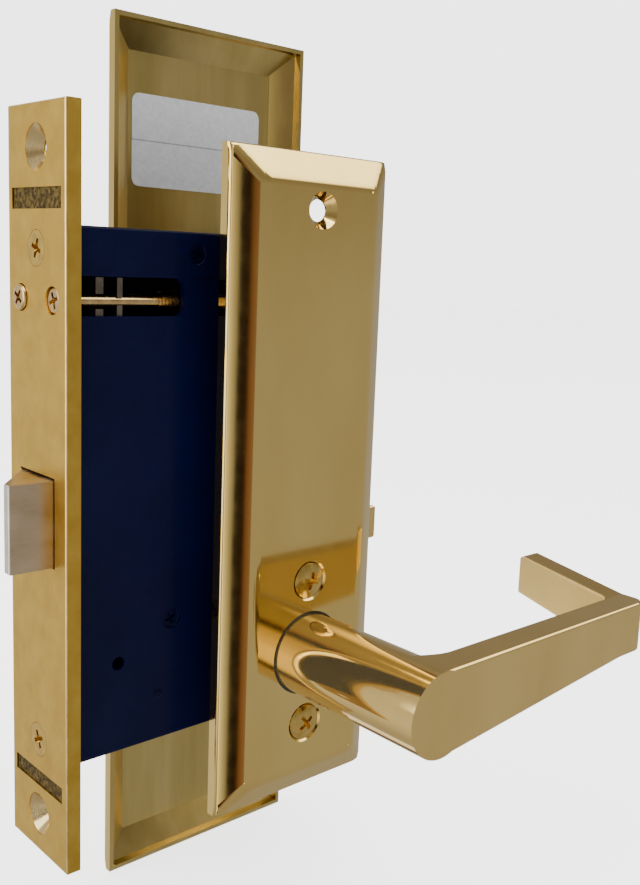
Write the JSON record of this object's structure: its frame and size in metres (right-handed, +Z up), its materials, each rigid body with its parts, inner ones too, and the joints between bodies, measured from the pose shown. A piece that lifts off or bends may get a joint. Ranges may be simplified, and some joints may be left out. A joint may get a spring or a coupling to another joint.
{
  "type": "mortise lock",
  "caption": "Mortise latch lock: brass faceplate, sprung latch bolt, navy steel case, key cylinder and two lever escutcheons on one spindle.",
  "frame": {"origin": "centre of the front of the faceplate", "axes": "+X from the faceplate into the door (backset), +Y through the door from the inside escutcheon to the outside one, +Z up"},
  "size_m": [0.1786, 0.172, 0.2666],
  "materials": {
    "satin_brass": "satin brushed brass, lightly mottled",
    "polished_brass": "mirror polished and lacquered brass",
    "lever_brass": "mirror polished brass casting",
    "cylinder_brass": "turned brass with fine machining rings",
    "screw_brass": "bright brass plated screw",
    "latch_brass": "satin rolled brass, worn on its faces",
    "screw_steel": "dull plated steel rod",
    "navy_paint": "dark navy blue baked enamel, slight orange peel",
    "navy_screw": "painted over with the case",
    "zinc": "bright zinc plated steel",
    "spring_steel": "oiled spring steel",
    "black_steel": "black oxide steel",
    "black_nylon": "black nylon bearing",
    "label_paper": "blank white coated label"
  },
  "bodies": {
    "case": {"faceplate": "satin_brass", "faceplate_screws": "screw_brass", "near_set_screw": "screw_steel", "far_set_screw": "screw_brass", "screw_guide": "zinc", "thread_block": "zinc", "case_body": "navy_paint", "case_cover": "navy_paint", "cover_posts": "zinc", "cover_screws": "navy_screw", "case_rivet": "navy_screw", "latch_guide": "zinc", "latch_spring": "spring_steel", "hub_stop_pin": "zinc", "hub_spring": "spring_steel", "front_bushing": "black_nylon", "rear_bushing": "black_nylon", "front_escutcheon": "polished_brass", "rear_escutcheon": "polished_brass", "through_posts": "zinc", "plate_screws": "screw_brass", "cylinder_shell": "cylinder_brass", "cylinder_ring": "polished_brass", "blank_plug": "cylinder_brass", "rear_label": "label_paper"},
    "handle": {"hub": "zinc", "spindle": "zinc", "front_lever": "lever_brass", "rear_lever": "lever_brass", "front_grub_screw": "black_steel", "rear_grub_screw": "black_steel", "front_retaining_ring": "spring_steel", "rear_retaining_ring": "spring_steel"},
    "latch": {"latch_bolt": "latch_brass", "latch_tail": "zinc", "latch_pins": "zinc"},
    "key_plug": {"cylinder_plug": "cylinder_brass", "cylinder_cam": "zinc", "cam_screws": "zinc"}
  },
  "joints": [
    {"name": "lever_turn", "type": "hinge", "parent": "case", "child": "handle", "pos_m": [0.06985, 0, -0.05], "axis": [0, 1, 0], "range_deg": [0, 50], "stiffness_Nm_per_rad": 0.6, "springref_deg": -20.05, "deforming": ["hub_spring"]},
    {"name": "latch_slide", "type": "slide", "parent": "case", "child": "latch", "axis": [1, 0, 0], "range_m": [0, 0.0122], "deforming": ["latch_spring"]},
    {"name": "key_turn", "type": "hinge", "parent": "case", "child": "key_plug", "pos_m": [0.06985, 0, 0.0499], "axis": [0, 1, 0], "range_deg": [-58, 250]}
  ],
  "couplings": [
    {"joint": "latch_slide", "follows": "lever_turn", "m_per_rad": 0.01398}
  ]
}
